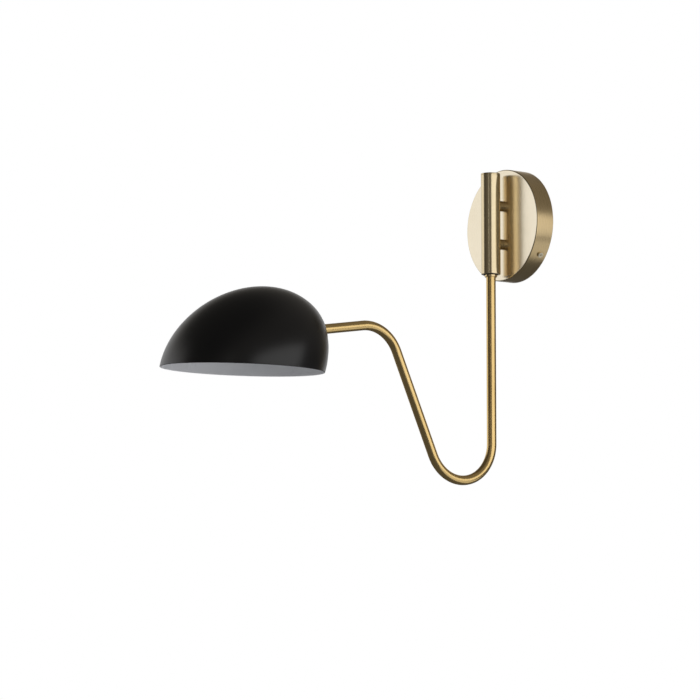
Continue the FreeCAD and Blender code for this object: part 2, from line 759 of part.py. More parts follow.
def end_hardware():
    at = stack()
    nuts = []
    for name in ("back_nut", "front_nut", "end_nut"):
        blank = hexagon(name + "_blank", s.nut_width, s.nut_height, **at_end(at[name]))
        bore = cylinder(name + "_thread", s.tube_radius, s.nut_height, **at_end(at[name]))
        nuts.append(cut(name, blank, bore))
    piece("arm_end_nuts", fuse("arm_end_nuts", *nuts))
    piece("shade_wave_washer", ring("shade_wave_washer", s.shade_washer_radius, s.tube_radius,
                                    s.wave_washer_height, **at_end(at["wave"])))
    piece("shade_flat_washer", ring("shade_flat_washer", s.shade_washer_radius, s.tube_radius,
                                    s.flat_washer_height, **at_end(at["washer"])))
    inner = s.tube_radius - s.tube_wall
    middle = at["strap"] + s.strap_thickness / 2
    downward = ALONG_END + " * " + turn_about(SIDEWAYS_AXIS, 180)
    piece("shade_stop_pin", cylinder("shade_stop_pin", s.shade_pin_radius,
                                     s.shade_pin_reach - inner,
                                     **at_end(middle, -inner, turn=downward)))


def lamp():
    at = stack()
    half = s.holder_plate_width / 2
    plate_end = at["holder_plate"] + s.holder_plate
    leg_end = at["holder"] + s.holder_length
    upright = box("holder_upright", s.holder_plate_width, s.holder_plate,
                  s.holder_plate_below + s.holder_radius + s.holder_plate,
                  **at_end(plate_end, -s.holder_plate_below, x=-half, turn=ALONG_END))
    leg = box("holder_leg", s.holder_plate_width, leg_end - at["holder_plate"], s.holder_plate,
              **at_end(leg_end, s.holder_radius, x=-half, turn=ALONG_END))
    bore = cylinder("holder_bore", s.tube_radius, s.holder_plate * 3,
                    **at_end(at["holder_plate"] - s.holder_plate))
    screw_at = at["holder"] + s.holder_length / 2
    above = s.holder_radius + s.holder_plate + s.holder_head_height
    downward = ALONG_END + " * " + turn_about(SIDEWAYS_AXIS, 180)
    shank = s.holder_plate + s.holder_screw_length
    thread = cylinder("holder_thread", s.holder_screw_radius, s.holder_head_height + shank,
                      **at_end(screw_at, above, turn=downward))
    piece("holder_bracket", cut("holder_bracket", fuse("holder_blank", upright, leg), bore, thread))
    screw = headed_screw("holder_screw_blank", s.holder_screw_radius, shank, s.holder_head_radius,
                         s.holder_head_height, **at_end(screw_at, above, turn=downward))
    slot_bar = box("holder_screw_slot", s.holder_head_radius * 2, s.cross_width, s.cross_width,
                   **at_end(screw_at + s.cross_width / 2, above - s.cross_width / 2,
                            x=-s.holder_head_radius, turn=ALONG_END))
    piece("holder_screw", cut("holder_screw", screw, slot_bar))

    floor = s.holder_length - s.holder_recess
    body = turned("holder_body", [
        (0, 0), (s.holder_radius, 0), (s.holder_radius, s.holder_length),
        (s.holder_recess_radius, s.holder_length), (s.holder_recess_radius, floor), (0, floor)],
        **at_end(at["holder"]))
    pin_start = at["holder"] + floor - s.lamp_pin_length
    pin_x = s.lamp_pin_spacing / 2
    sockets = [cylinder("pin_socket_" + side, s.lamp_pin_radius + s.lamp_pin_gap,
                        s.lamp_pin_length * 2, **at_end(pin_start, x=pin_x * sign))
               for side, sign in (("left", -1), ("right", 1))]
    piece("lamp_holder", cut("lamp_holder", body, *sockets, thread))
    pins = [cylinder("lamp_pin_" + side, s.lamp_pin_radius, s.lamp_pin_length,
                     **at_end(pin_start, x=pin_x * sign)) for side, sign in (("left", -1), ("right", 1))]
    piece("lamp_pins", fuse("lamp_pins", *pins))

    base = at["holder"] + floor
    glass = base + s.lamp_base_length
    piece("lamp_base", cylinder("lamp_base", s.lamp_base_radius, s.lamp_base_length, **at_end(base)))
    piece("lamp_core", cylinder("lamp_core", s.core_radius, s.core_length, **at_end(glass)))
    outside = capsule("bulb_outside", s.bulb_radius, s.bulb_length, glass)
    inside = capsule("bulb_inside", s.bulb_radius - s.bulb_wall, s.bulb_length - s.bulb_wall, glass)
    piece("lamp_bulb", cut("lamp_bulb", outside, inside))


def capsule(name, radius, length, start):
    """A round-ended cylinder along the tube's end, open to the lamp's base."""
    straight = cylinder(name + "_straight", radius, length - radius, **at_end(start))
    ball = bind(doc.addObject("Part::Sphere", name + "_ball"), Radius=radius)
    place(ball, **at_end(start + length - radius))
    return fuse(name, straight, ball)


# Shade. It is built level about the start of the tube's end, then turned on the tube's end.

def dome(name, shrink):
    """The dome's closed form, its surface moved inward by shrink. Its poles are at the sides."""
    solid = doc.addObject("Part::Ellipsoid", name)
    bind(solid, Radius1=s.dome_width - shrink, Radius2=s.dome_height - shrink,
         Radius3=s.dome_length - shrink)
    return place(solid, y=-s.dome_reach, z=-s.dome_fall,
                 turn=turn_about(SIDEWAYS_AXIS, s.dome_lean) + " * " + turn_about(OUTWARD_AXIS, 90))


def turned_on_end(thing):
    back = turn_about(SIDEWAYS_AXIS, -s.arm_slope)
    roll = turn_about(OUTWARD_AXIS, s.dome_roll)
    return place(thing, y=-(s.barrel_axis + end_reach()), z=end_rise(),
                 turn=" * ".join((ALONG_END, roll, back)))


def shade():
    at = stack()
    inside = dome("dome_inside", s.dome_wall)
    skin = cut("dome_skin", dome("dome_outside", ZERO), inside)
    side = s.dome_length * 4
    rim = s.dome_fall + s.rim_fall
    below = box("below_rim", side, side, side, x=-(side / 2), y=-(s.dome_reach + side / 2),
                z=-(rim + side))
    hole = cylinder("dome_hole", s.tube_radius + s.dome_hole_gap, at["strap"], turn=DOWN_END,
                    **level_end(at["strap"] / 2))
    open_skin = cut("open_skin", skin, below)
    piece("shade_shell", turned_on_end(cut("shade_shell", open_skin, hole)))

    half = s.strap_width / 2
    strap_end = at["strap"] + s.strap_thickness
    foot_end = at["strap"] + s.strap_foot
    tall = s.dome_height
    upright = box("strap_upright", s.strap_width, s.strap_thickness, s.strap_below + tall,
                  x=-half, turn=ALONG_END, **level_end(strap_end, -s.strap_below))
    blank = common("strap_blank", upright, dome("dome_strap_limit", s.dome_wall))
    foot_bar = box("foot_bar", s.strap_width, s.strap_foot, tall, x=-half, turn=ALONG_END,
                   **level_end(foot_end, s.nut_width / 2))
    foot_skin = cut("foot_skin", dome("dome_foot_outside", s.dome_wall),
                    dome("dome_foot_inside", s.dome_wall + s.strap_foot_thickness))
    foot = common("foot", foot_bar, foot_skin)
    bore = cylinder("strap_bore", s.tube_radius + s.running_gap, at["strap"], turn=DOWN_END,
                    **level_end(at["strap"] / 2))
    half_pin = arcsine(s.shade_pin_radius / (s.tube_radius + s.running_gap))
    window = sector("shade_window", s.shade_pin_reach + s.running_gap * 2, s.strap_thickness * 2,
                    s.shade_limit + half_pin, -90, turn=DOWN_END,
                    **level_end(at["strap"] - s.strap_thickness / 2))
    strap = cut("shade_bracket", fuse("strap_and_foot", blank, foot), bore, window)
    piece("shade_bracket", turned_on_end(strap))


# Wiring inside the cup and the barrel

def terminal_block():
    left = s.block_x - s.block_length / 2
    bottom = -(s.block_fall + s.block_height / 2)
    front = s.disc_thickness + s.block_depth
    body = box("block_body", s.block_length, s.block_depth, s.block_height,
               x=left, y=-front, z=bottom)
    wire_depth = s.disc_thickness + s.block_wire_depth
    tools = [cylinder("block_fixing_hole", s.block_fixing_radius, front, x=s.block_x,
                      z=-s.block_fall, turn=OUTWARD)]
    screws = []
    for index in range(BLOCK_POLES):
        x = pole_x(index)
        tools.append(cylinder(f"block_wire_{index}", s.block_wire_radius, s.block_height,
                              x=x, y=-wire_depth, z=bottom))
        for end, sign in (("low", -1), ("high", 1)):
            where = {"x": x, "z": s.block_screw_offset * sign - s.block_fall, "turn": OUTWARD}
            depth = front - s.block_screw_depth
            tools.append(cylinder(f"block_well_{end}_{index}", s.block_screw_radius,
                                  s.block_screw_depth, y=-depth, **where))
            screw = cylinder(f"block_screw_{end}_{index}", s.block_screw_radius,
                             s.block_screw_depth - s.cross_width, y=-depth, **where)
            slot_bar = box(f"block_screw_slot_{end}_{index}", s.block_screw_radius * 2,
                           s.cross_width, s.cross_width, x=x - s.block_screw_radius,
                           y=-(front - s.cross_width), z=where["z"] - s.cross_width / 2)
            screws.append(cut(f"block_screw_cut_{end}_{index}", screw, slot_bar))
    piece("terminal_block", cut("terminal_block", body, *tools))
    piece("terminal_screws", fuse("terminal_screws", *screws))
    piece("block_screw", headed_screw(
        "block_screw", s.block_fixing_radius, front, s.block_fixing_radius * 1.8, s.cross_width,
        x=s.block_x, y=-(front + s.cross_width), z=-s.block_fall,
        turn=OUTWARD + " * " + turn_about(SIDEWAYS_AXIS, 180)))


BLOCK_POLES = 3


def pole_x(index):
    return s.block_x + s.block_pole * (index - 1)


def wire_point(x, z, depth=None):
    """A point inside the cup, at the depth of the terminal block's wire holes unless given."""
    depth = depth or s.disc_thickness + s.block_wire_depth
    return Vector(sized(x).number, -depth.number, sized(z).number)


def supply_leads():
    """From the block's top, through the nipple, and down the barrel to the arm's own leads."""
    top = s.block_height / 2 - s.block_fall
    height = s.standoff_spacing / 2
    side = s.lead_spacing / 2
    bend, tight = s.lead_bend.number, s.lead_tight_bend.number
    over = height + s.lead_tight_bend * 2.25
    first = [wire_point(pole_x(1), top), wire_point(pole_x(1), height), wire_point(side, height),
             wire_point(side, height, s.barrel_axis),
             wire_point(side, s.lead_meeting, s.barrel_axis)]
    second = [wire_point(pole_x(2), top), wire_point(pole_x(2), over), wire_point(-side, over),
              wire_point(-side, height), wire_point(-side, height, s.barrel_axis),
              wire_point(-side, s.lead_meeting, s.barrel_axis)]
    leads = doc.addObject("Part::Feature", "supply_leads")
    leads.Shape = Part.makeCompound([bent_lead("first supply lead", first, bend),
                                     bent_lead("second supply lead", second, tight)])
    piece("supply_leads", leads)


def ground():
    """A screw in the mounting disc, and a lead with a ring lug from it to the block."""
    place_screw = {"x": -s.ground_x, "z": -s.ground_fall}
    lug_top = s.disc_thickness + s.ground_lug_height
    screw = headed_screw("ground_screw_blank", s.ground_screw_radius, lug_top,
                         s.ground_head_radius, s.ground_head_height,
                         y=-(lug_top + s.ground_head_height),
                         turn=OUTWARD + " * " + turn_about(SIDEWAYS_AXIS, 180), **place_screw)
    slot_bar = box("ground_slot", s.ground_head_radius * 2, s.cross_width, s.cross_width,
                   x=-(s.ground_x + s.ground_head_radius), y=-(lug_top + s.ground_head_height),
                   z=-(s.ground_fall + s.cross_width / 2))
    piece("ground_screw", cut("ground_screw", screw, slot_bar))
    depth = s.disc_thickness + s.block_wire_depth
    edge = s.ground_lug_radius
    low = -(s.block_fall + s.block_height / 2)
    turn_low = low - s.lead_bend * 1.4
    points = [wire_point(-s.ground_x, -(s.ground_fall + edge), depth - s.block_wire_depth / 2),
              wire_point(-s.ground_x, turn_low, depth - s.block_wire_depth / 2),
              wire_point(pole_x(0), turn_low), wire_point(pole_x(0), low)]
    lug = Part.makeCylinder(edge.number, s.ground_lug_height.number,
                            wire_point(-s.ground_x, -s.ground_fall, s.disc_thickness),
                            Vector(0, -1, 0))
    tongue = Part.makeBox(s.lead_radius.number * 2, s.ground_lug_height.number, edge.number * 1.2,
                          wire_point(-(s.ground_x + s.lead_radius),
                                     -(s.ground_fall + edge * 1.6), lug_top))
    hole = Part.makeCylinder(s.ground_screw_radius.number, s.plate_depth.number,
                             wire_point(-s.ground_x, -s.ground_fall, ZERO), Vector(0, -1, 0))
    lead = doc.addObject("Part::Feature", "ground_lead")
    strand = bent_lead("ground lead", points, s.lead_tight_bend.number)
    lead.Shape = lug.fuse([tongue, strand]).cut(hole).removeSplitter()
    piece("ground_lead", lead)


for build in (wall_plate, mounting_plate, rim_screws, grommet, standoffs, nipple_set,
              standoff_screw, barrel, bushes, arm_hardware, arm, end_hardware, lamp, shade,
              terminal_block, supply_leads, ground):
    build()
doc.recompute()

failed = [thing.Name for thing in doc.Objects if {"Invalid", "Error"} & set(thing.State)]
failed += [name for name, thing in pieces.items()
           if thing.Shape.isNull() or not thing.Shape.isValid() or not thing.Shape.Solids]
if failed:
    raise RuntimeError("not built: " + ", ".join(failed))

os.makedirs("parts", exist_ok=True)
for name, thing in pieces.items():
    thing.Shape.exportStep(os.path.join("parts", name + ".step"))
print(len(pieces), "pieces written")
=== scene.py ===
import json
import math

import bmesh
import bpy
import numpy as np
from mathutils import Matrix, Vector


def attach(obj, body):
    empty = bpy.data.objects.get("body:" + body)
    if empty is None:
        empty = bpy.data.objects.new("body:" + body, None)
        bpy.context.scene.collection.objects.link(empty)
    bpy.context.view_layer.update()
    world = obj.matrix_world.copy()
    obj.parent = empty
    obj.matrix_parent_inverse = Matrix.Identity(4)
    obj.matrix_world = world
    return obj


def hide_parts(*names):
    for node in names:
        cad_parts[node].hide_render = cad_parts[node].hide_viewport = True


# A swing-arm wall light: satin brass plate, barrel and bent arm, and a black dome shade that is white inside.
# The wall is the plane y = 0, the light stands out along -y, z points up, and lengths are in metres.

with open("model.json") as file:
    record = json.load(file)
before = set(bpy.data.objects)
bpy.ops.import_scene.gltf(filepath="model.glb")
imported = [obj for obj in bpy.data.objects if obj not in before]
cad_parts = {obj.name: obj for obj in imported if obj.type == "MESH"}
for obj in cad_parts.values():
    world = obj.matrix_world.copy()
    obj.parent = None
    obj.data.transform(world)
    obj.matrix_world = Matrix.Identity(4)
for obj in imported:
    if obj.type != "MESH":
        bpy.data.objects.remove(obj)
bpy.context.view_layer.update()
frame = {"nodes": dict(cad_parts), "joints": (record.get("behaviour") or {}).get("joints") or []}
joints = {joint["name"]: joint for joint in frame["joints"]}
print("frame loaded:", len(frame["nodes"]), "nodes")


# Points of a piece that lie closer than this become one.
weldDistance = 2e-6


def unit(vector):
    vector = np.asarray(vector, float)
    return vector / np.linalg.norm(vector, axis=-1, keepdims=True)


# Each corner B of a closed loop becomes the curve (1-t)^2 A + 2t(1-t) B + t^2 C, where A and C lie on
# its two sides, one bevel away from B. A point a little further out on each side keeps the flats flat.
def roundedLoop(corners, bevels, steps=5, hold=0.00025):
    corner = np.asarray(corners, float)
    reach = np.asarray(bevels, float)[:, None]
    backward, forward = unit(np.roll(corner, 1, 0) - corner), unit(np.roll(corner, -1, 0) - corner)
    before, after = corner + reach * backward, corner + reach * forward
    t = np.linspace(0, 1, steps + 1)[None, :, None]
    curve = (1 - t) ** 2 * before[:, None] + 2 * t * (1 - t) * corner[:, None] + t ** 2 * after[:, None]
    held = [(corner + (reach + hold) * side)[:, None] for side in (backward, forward)]
    return np.concatenate([held[0], curve, held[1]], axis=1).reshape(-1, 2)


# Point = centre + axis * height + radius * (side cos turn + (axis x side) sin turn), for each radius and
# height of a closed loop and each turn. The map holds metres: turn * widest radius, and length along
# the loop.
def lathePatch(loop, centre, axis, turns=192, side=(1, 0, 0)):
    axis, side = unit(axis), unit(side)
    ring = np.vstack([loop, loop[:1]])
    turn = np.linspace(0, 2 * math.pi, turns + 1)
    around = np.cos(turn)[:, None] * side + np.sin(turn)[:, None] * np.cross(axis, side)
    points = np.asarray(centre, float) + ring[:, 1, None, None] * axis + ring[:, 0, None, None] * around
    length = np.concatenate([[0], np.cumsum(np.linalg.norm(np.diff(ring, axis=0), axis=1))])
    uv = np.stack(np.meshgrid(turn * ring[:, 0].max(), length), axis=-1)
    return {"points": points, "uv": uv}


# Joins grids of points into one closed mesh. Quad (i, j) has the corners (i, j), (i, j + 1),
# (i + 1, j + 1) and (i + 1, j). The body it rides on, the nodes it stands for and its slot go with it.
def makePiece(name, patches, materials, body, stands=(), sharp=38):
    points, uvs, faces, paints, offset = [], [], [], [], 0
    for patch in patches:
        rows, columns = patch["points"].shape[:2]
        index = offset + np.arange(rows * columns).reshape(rows, columns)
        quads = np.stack([index[:-1, :-1], index[:-1, 1:], index[1:, 1:], index[1:, :-1]], axis=-1)
        points.append(patch["points"].reshape(-1, 3))
        uvs.append(patch["uv"].reshape(-1, 2))
        faces.append(quads.reshape(-1, 4))
        paint = patch.get("paint", np.zeros(rows - 1, int))
        paints.append(np.repeat(paint, columns - 1))
        offset += rows * columns
    points, uvs, faces, paints = map(np.concatenate, (points, uvs, faces, paints))
    mesh = bpy.data.meshes.new(name)
    mesh.from_pydata(points.tolist(), [], faces.tolist())
    mesh.uv_layers.new(name="finishMap").data.foreach_set("uv", uvs[faces.ravel()].ravel())
    mesh.polygons.foreach_set("material_index", paints.astype(np.int32))
    work = bmesh.new()
    work.from_mesh(mesh)
    bmesh.ops.remove_doubles(work, verts=work.verts, dist=weldDistance)
    bmesh.ops.recalc_face_normals(work, faces=work.faces)
    work.to_mesh(mesh)
    work.free()
    mesh.shade_smooth()
    mesh.set_sharp_from_angle(angle=math.radians(sharp))
    for material in materials:
        mesh.materials.append(material)
    piece = bpy.data.objects.new(name, mesh)
    bpy.context.scene.collection.objects.link(piece)
    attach(piece, body)
    if stands:
        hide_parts(*stands)
    return piece


def lathePiece(name, corners, bevels, centre, axis, materials, body, stands, turns=192, paintRows=None):
    patch = lathePatch(roundedLoop(corners, bevels), centre, axis, turns)
    if paintRows:
        patch["paint"] = paintRows(patch["points"])
    return makePiece(name, [patch], materials, body, stands)


# Makes a node, sets its own settings, and fills or links its sockets.
def addNode(tree, kind, values=None, **settings):
    node = tree.nodes.new(kind)
    for key, value in settings.items():
        setattr(node, key, value)
    for key, value in (values or {}).items():
        if isinstance(value, bpy.types.NodeSocket):
            tree.links.new(value, node.inputs[key])
        else:
            node.inputs[key].default_value = value
    return node


def makeGroup(name, inputs, outputs):
    group = bpy.data.node_groups.new(name, "ShaderNodeTree")
    for label, kind, value in inputs:
        socket = group.interface.new_socket(label, in_out="INPUT", socket_type=kind)
        if value is not None:
            socket.default_value = value
    for label, kind in outputs:
        group.interface.new_socket(label, in_out="OUTPUT", socket_type=kind)
    return group, group.nodes.new("NodeGroupInput"), group.nodes.new("NodeGroupOutput")


def useGroup(tree, group, values):
    return addNode(tree, "ShaderNodeGroup", values, node_tree=group)


def mathNode(tree, first, second, operation):
    return addNode(tree, "ShaderNodeMath", {0: first, 1: second}, operation=operation).outputs[0]


def dotProduct(tree, first, second):
    node = addNode(tree, "ShaderNodeVectorMath", {0: first, 1: second}, operation="DOT_PRODUCT")
    return node.outputs["Value"]


def noiseAt(tree, place, scale, detail, roughness=0.5, distortion=0.0):
    return addNode(tree, "ShaderNodeTexNoise", {"Vector": place, "Scale": scale, "Detail": detail,
                                                "Roughness": roughness, "Distortion": distortion}).outputs[0]


# A ramp over the range edge, from low to high, straight or with soft ends.
def rampOver(tree, value, edge, low=0.0, high=1.0, blend="LINEAR"):
    ends = {"Value": value, "From Min": edge[0], "From Max": edge[1], "To Min": low, "To Max": high}
    return addNode(tree, "ShaderNodeMapRange", ends, interpolation_type=blend).outputs[0]


def mixNumbers(tree, factor, low, high):
    return addNode(tree, "ShaderNodeMix", {"Factor": factor, "A": low, "B": high}).outputs[0]


# Each of low and high is a colour or a socket that gives one.
def mixColours(tree, factor, low, high):
    mix = addNode(tree, "ShaderNodeMix", {"Factor": factor}, data_type="RGBA")
    for place, colour in ((6, low), (7, high)):
        if isinstance(colour, bpy.types.NodeSocket):
            tree.links.new(colour, mix.inputs[place])
        else:
            mix.inputs[place].default_value = (*colour, 1)
    return mix.outputs[2]


# Brushing: two noises drawn out along one side of the pattern, a fine one and a coarser one.
def makeBrushing():
    group, source, result = makeGroup(
        "brushing",
        [("Vector", "NodeSocketVector", None), ("Stretch", "NodeSocketVector", (1, 1, 1)),
         ("Fine", "NodeSocketFloat", 9000), ("Coarse", "NodeSocketFloat", 1500)],
        [("Height", "NodeSocketFloat"), ("Mask", "NodeSocketFloat")])
    place, stretch = source.outputs["Vector"], source.outputs["Stretch"]
    drawn = addNode(group, "ShaderNodeVectorMath", {0: place, 1: stretch}, operation="MULTIPLY").outputs[0]
    fine = noiseAt(group, drawn, source.outputs["Fine"], detail=3, roughness=0.6)
    coarse = noiseAt(group, drawn, source.outputs["Coarse"], detail=4, roughness=0.7)
    both = mathNode(group, mathNode(group, fine, coarse, "ADD"), 0.5, "MULTIPLY")
    group.links.new(both, result.inputs["Height"])
    group.links.new(rampOver(group, coarse, (0.35, 0.65)), result.inputs["Mask"])
    return group


# Clouds: one soft noise for uneven lacquer, and one with few bright islands for handling marks.
def makeClouds():
    group, source, result = makeGroup(
        "clouds",
        [("Vector", "NodeSocketVector", None), ("Size", "NodeSocketFloat", 30),
         ("Marks", "NodeSocketFloat", 60)],
        [("Tone", "NodeSocketFloat"), ("Marks", "NodeSocketFloat")])
    place = source.outputs["Vector"]
    tone = noiseAt(group, place, source.outputs["Size"], detail=5, roughness=0.55)
    islands = noiseAt(group, place, source.outputs["Marks"], detail=6, roughness=0.62, distortion=0.4)
    group.links.new(rampOver(group, tone, (0.3, 0.7)), result.inputs["Tone"])
    group.links.new(rampOver(group, islands, (0.56, 0.78)), result.inputs["Marks"])
    return group


# Grain: the fine pebbled skin of sprayed paint, cast ceramic or moulded plastic, on low waves.
def makeGrain():
    group, source, result = makeGroup(
        "grain",
        [("Vector", "NodeSocketVector", None), ("Size", "NodeSocketFloat", 2500)],
        [("Height", "NodeSocketFloat")])
    place = source.outputs["Vector"]
    pebbles = noiseAt(group, place, source.outputs["Size"], detail=2)
    waves = noiseAt(group, place, scale=260, detail=2)
    both = addNode(group, "ShaderNodeMath", {0: waves, 1: 0.5, 2: pebbles}, operation="MULTIPLY_ADD")
    group.links.new(both.outputs[0], result.inputs["Height"])
    return group


# Wear: how far a slightly rounded normal turns from the true one, which is large along edges only.
def makeWear():
    group, source, result = makeGroup(
        "wear",
        [("Radius", "NodeSocketFloat", 0.0006), ("Vector", "NodeSocketVector", None)],
        [("Mask", "NodeSocketFloat")])
    rounded = addNode(group, "ShaderNodeBevel", {"Radius": source.outputs["Radius"]}, samples=6)
    shape = addNode(group, "ShaderNodeNewGeometry")
    likeness = dotProduct(group, rounded.outputs[0], shape.outputs["Normal"])
    edge = rampOver(group, likeness, (0.995, 0.9))
    breaks = noiseAt(group, source.outputs["Vector"], scale=420, detail=4)
    group.links.new(mathNode(group, edge, breaks, "MULTIPLY"), result.inputs["Mask"])
    return group


brushing, clouds, grain, wear = makeBrushing(), makeClouds(), makeGrain(), makeWear()


# A new material, its node tree and its shader.
def newFinish(name):
    material = bpy.data.materials.new(name)
    material.use_nodes = True
    tree = material.node_tree
    return material, tree, tree.nodes["Principled BSDF"]


# The colour goes from dark to light with the tone, and to the edge colour where the piece is worn.
# The roughness runs between the spec's two values with one mask, and the handling marks add to it.
def colourAndRoughen(tree, shader, spec, tones, edges, roughMask):
    colour = mixColours(tree, tones.outputs["Tone"], spec["dark"], spec["light"])
    tree.links.new(mixColours(tree, edges.outputs["Mask"], colour, spec["edge"]), shader.inputs["Base Color"])
    rough = mathNode(tree, rampOver(tree, roughMask, (0, 1), *spec["rough"]),
                     rampOver(tree, tones.outputs["Marks"], (0, 1), 0, spec["marks"]), "ADD")
    tree.links.new(rough, shader.inputs["Roughness"])


brushDepth, grainDepth, coatWear = 0.00004, 0.00006, 0.0004


# Metal whose colour wanders with the clouds, whose roughness follows the brushing and the handling marks,
# and whose worn edges are a little brighter.
def metalFinish(name, spec):
    material, tree, shader = newFinish(name)
    place = addNode(tree, "ShaderNodeTexCoord")
    pattern = place.outputs["UV"] if spec.get("onMap") else place.outputs["Object"]
    lines = useGroup(tree, brushing, {"Vector": pattern, "Stretch": spec["stretch"],
                                      "Fine": spec["fine"], "Coarse": spec["coarse"]})
    tones = useGroup(tree, clouds, {"Vector": place.outputs["Object"], "Size": spec["cloudSize"]})
    edges = useGroup(tree, wear, {"Vector": place.outputs["Object"], "Radius": spec["wearRadius"]})
    colourAndRoughen(tree, shader, spec, tones, edges, lines.outputs["Mask"])
    bump = addNode(tree, "ShaderNodeBump", {"Height": lines.outputs["Height"], "Strength": spec["bump"],
                                            "Distance": brushDepth})
    tree.links.new(bump.outputs[0], shader.inputs["Normal"])
    shader.inputs["Metallic"].default_value = 1
    return material


brassSpec = {
    "dark": (0.74, 0.56, 0.30), "light": (0.80, 0.62, 0.35), "edge": (0.88, 0.74, 0.50),
    "rough": (0.17, 0.22), "marks": 0.03, "cloudSize": 22, "wearRadius": 0.0005,
    "stretch": (1, 1, 0.04), "fine": 7000, "coarse": 1600, "bump": 0.05,
}
# The plate's face brass is paler and whiter than the base brass, a painted highlight, and its rim brass is
# darker, a painted shade. Both stand for one brass.
faceBrassPaintedHighlight = metalFinish("faceBrassPaintedHighlight", {**brassSpec, "dark": (0.85, 0.755, 0.58), "light": (0.90, 0.81, 0.64),
                                      "rough": (0.20, 0.24), "stretch": (0.05, 1, 1)})
rimBrassPaintedShade = metalFinish("rimBrassPaintedShade", {**brassSpec, "dark": (0.62, 0.475, 0.255), "light": (0.68, 0.525, 0.295),
                                    "rough": (0.26, 0.32), "stretch": (0.03, 1, 1), "onMap": True})
# The barrel's brass is paler and less golden than the base brass. This is a painted sheen that whitens its
# highlights.
barrelBrassPaintedSheen = metalFinish("barrelBrassPaintedSheen", {**brassSpec, "dark": (0.74, 0.61, 0.39),
                                          "light": (0.80, 0.68, 0.45), "stretch": (0.05, 1, 1),
                                          "onMap": True})
armBrass = metalFinish("armBrass", {**brassSpec, "dark": (0.72, 0.51, 0.21), "light": (0.80, 0.58, 0.26),
                                    "rough": (0.20, 0.25), "stretch": (1, 0.03, 1), "bump": 0.005,
                                    "onMap": True})
smallBrass = metalFinish("smallBrass", {**brassSpec, "stretch": (1, 1, 1), "rough": (0.2, 0.28)})
# The side screws' brass is much paler than the rest. This is a painted highlight that makes their heads look
# bright all round.
screwBrassPaintedHighlight = metalFinish("screwBrassPaintedHighlight", {**brassSpec, "stretch": (1, 1, 1), "dark": (0.86, 0.78, 0.58),
                                        "light": (0.94, 0.88, 0.72), "rough": (0.50, 0.60)})
zincSteel = metalFinish("zincSteel", {
    "dark": (0.46, 0.46, 0.45), "light": (0.60, 0.60, 0.58), "edge": (0.72, 0.72, 0.70),
    "rough": (0.30, 0.42), "marks": 0.12, "cloudSize": 120, "wearRadius": 0.0003,
    "stretch": (1, 1, 1), "fine": 5000, "coarse": 900, "bump": 0.15})


# Paint, ceramic, plastic and rubber: a colour that wanders a little, with the grain as a bump.
def coatFinish(name, spec):
    material, tree, shader = newFinish(name)
    place = addNode(tree, "ShaderNodeTexCoord").outputs["Object"]
    tones = useGroup(tree, clouds, {"Vector": place, "Size": spec["cloudSize"]})
    skin = useGroup(tree, grain, {"Vector": place, "Size": spec["grainSize"]})
    edges = useGroup(tree, wear, {"Vector": place, "Radius": coatWear})
    colourAndRoughen(tree, shader, spec, tones, edges, tones.outputs["Tone"])
    bump = addNode(tree, "ShaderNodeBump", {"Height": skin.outputs["Height"], "Strength": spec["bump"],
                                            "Distance": grainDepth})
    tree.links.new(bump.outputs[0], shader.inputs["Normal"])
    return material


blackPaint = coatFinish("blackPaint", {
    "dark": (0.0022, 0.0023, 0.0032), "light": (0.0034, 0.0035, 0.0045), "edge": (0.010, 0.010, 0.011),
    "rough": (0.30, 0.34), "marks": 0.03, "cloudSize": 14, "grainSize": 2600, "bump": 0.10})
whitePaint = coatFinish("whitePaint", {
    "dark": (0.74, 0.75, 0.78), "light": (0.79, 0.80, 0.82), "edge": (0.66, 0.66, 0.67),
    "rough": (0.26, 0.32), "marks": 0.05, "cloudSize": 18, "grainSize": 1800, "bump": 0.12})
blackNylon = coatFinish("blackNylon", {
    "dark": (0.018, 0.018, 0.019), "light": (0.03, 0.03, 0.03), "edge": (0.05, 0.05, 0.05),
    "rough": (0.45, 0.6), "marks": 0.08, "cloudSize": 90, "grainSize": 3000, "bump": 0.4})
blockNylon = coatFinish("blockNylon", {
    "dark": (0.72, 0.70, 0.64), "light": (0.80, 0.79, 0.74), "edge": (0.85, 0.84, 0.80),
    "rough": (0.40, 0.52), "marks": 0.06, "cloudSize": 80, "grainSize": 3000, "bump": 0.3})
rubberSkin = coatFinish("rubberSkin", {
    "dark": (0.015, 0.015, 0.015), "light": (0.03, 0.03, 0.031), "edge": (0.045, 0.045, 0.045),
    "rough": (0.62, 0.78), "marks": 0.08, "cloudSize": 130, "grainSize": 2200, "bump": 0.5})
whiteCeramic = coatFinish("whiteCeramic", {
    "dark": (0.74, 0.71, 0.64), "light": (0.82, 0.80, 0.74), "edge": (0.86, 0.85, 0.80),
    "rough": (0.42, 0.58), "marks": 0.1, "cloudSize": 140, "grainSize": 2600, "bump": 0.5})
lampYellow = coatFinish("lampYellow", {
    "dark": (0.78, 0.52, 0.10), "light": (0.86, 0.62, 0.16), "edge": (0.88, 0.68, 0.24),
    "rough": (0.5, 0.6), "marks": 0.05, "cloudSize": 200, "grainSize": 3600, "bump": 0.6})
groundGreen = coatFinish("groundGreen", {
    "dark": (0.06, 0.22, 0.05), "light": (0.09, 0.30, 0.07), "edge": (0.12, 0.34, 0.10),
    "rough": (0.34, 0.44), "marks": 0.06, "cloudSize": 110, "grainSize": 2400, "bump": 0.25})


